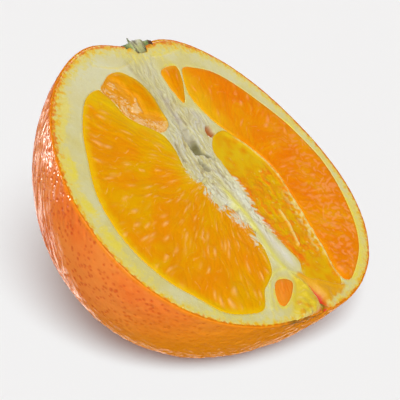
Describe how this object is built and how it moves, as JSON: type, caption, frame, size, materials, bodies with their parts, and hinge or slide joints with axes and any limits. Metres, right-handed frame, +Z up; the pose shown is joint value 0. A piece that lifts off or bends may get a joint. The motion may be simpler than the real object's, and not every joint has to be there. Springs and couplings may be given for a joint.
{
  "type": "orange half",
  "caption": "Half of a ripe orange cut lengthwise through stem and navel, leaning on its rounded back so that the juicy cut face shows.",
  "frame": {"origin": "middle of the small flat spot on the skin that the half rests on", "axes": "+Z up; the cut face looks up and towards -Y and +X, and the core runs in it from the stem at the upper left to the navel at the lower right, seen along +Y"},
  "size_m": [0.0759, 0.0755, 0.065],
  "materials": {
    "orange_flesh": "moist cut pulp between cream pith, with a pored orange rind",
    "calyx_green": "dry green calyx with a pale cut stub"
  },
  "bodies": {
    "root": {"orange_half": "orange_flesh", "calyx": "calyx_green"}
  },
  "joints": []
}
